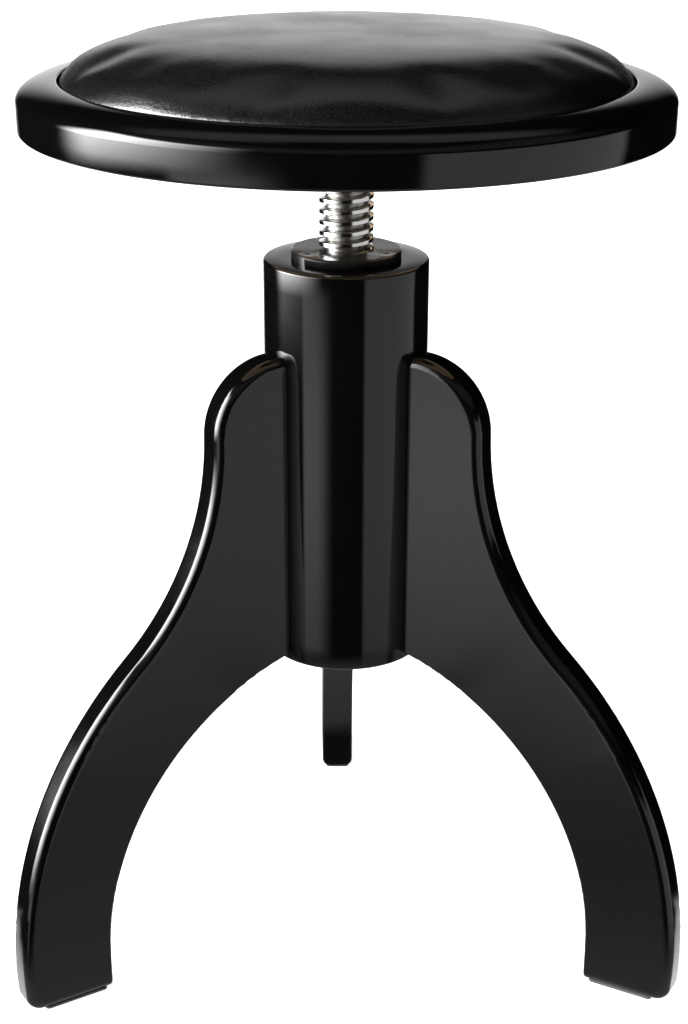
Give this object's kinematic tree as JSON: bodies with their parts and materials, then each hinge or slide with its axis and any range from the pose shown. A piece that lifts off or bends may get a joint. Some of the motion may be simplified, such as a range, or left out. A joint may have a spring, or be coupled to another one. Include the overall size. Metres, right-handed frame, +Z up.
{
  "type": "revolving piano stool",
  "caption": "Round upholstered stool on a turned column with flat shaped legs; the seat turns on a trapezoidal screw, which raises and lowers it.",
  "frame": {"origin": "on the floor, on the axis of the column and its screw", "axes": "+Z up along the screw; the rear leg points along +Y, the front of the stool faces -Y"},
  "size_m": [0.3858, 0.394, 0.538],
  "materials": {
    "lacquer": "black polished lacquer over beech",
    "felt": "pressed wool felt",
    "beech": "bare",
    "plywood": "bare birch plywood",
    "black_iron": "black, satin",
    "black_plate": "black powder coat",
    "bright_steel": "turned and polished",
    "zinc_steel": "zinc plated",
    "screw_steel": "blackened",
    "staple_wire": "galvanised",
    "nylon": "natural",
    "foam": "open cell polyurethane foam",
    "leatherette": "fine grain, semi-gloss"
  },
  "bodies": {
    "base": {"column": "lacquer", "leg_front_left": "lacquer", "leg_front_right": "lacquer", "leg_rear": "lacquer", "felt_pad_front_left": "felt", "felt_pad_front_right": "felt", "felt_pad_rear": "felt", "leg_dowels": "beech", "spindle_nut": "black_iron", "nut_screws": "screw_steel"},
    "guide": {"guide_bush": "nylon"},
    "seat": {"spindle": "bright_steel", "stop_washer": "zinc_steel", "stop_screw": "zinc_steel", "mounting_plate": "black_plate", "plate_screws": "screw_steel", "seat_rim": "lacquer", "seat_floor": "plywood", "pad_board": "plywood", "pad_foam": "foam", "pad_cover": "leatherette", "pad_screws": "screw_steel", "cover_staples": "staple_wire"}
  },
  "joints": [
    {"name": "seat_lift", "type": "slide", "parent": "base", "child": "guide", "axis": [0, 0, 1], "range_m": [-0.0661, 0.0661]},
    {"name": "seat_turn", "type": "hinge", "parent": "guide", "child": "seat", "pos_m": [0, 0, 0.49], "axis": [0, 0, 1], "range_deg": [-3960, 3960]}
  ],
  "couplings": [
    {"joint": "seat_lift", "follows": "seat_turn", "m_per_rad": 0.00095493}
  ]
}
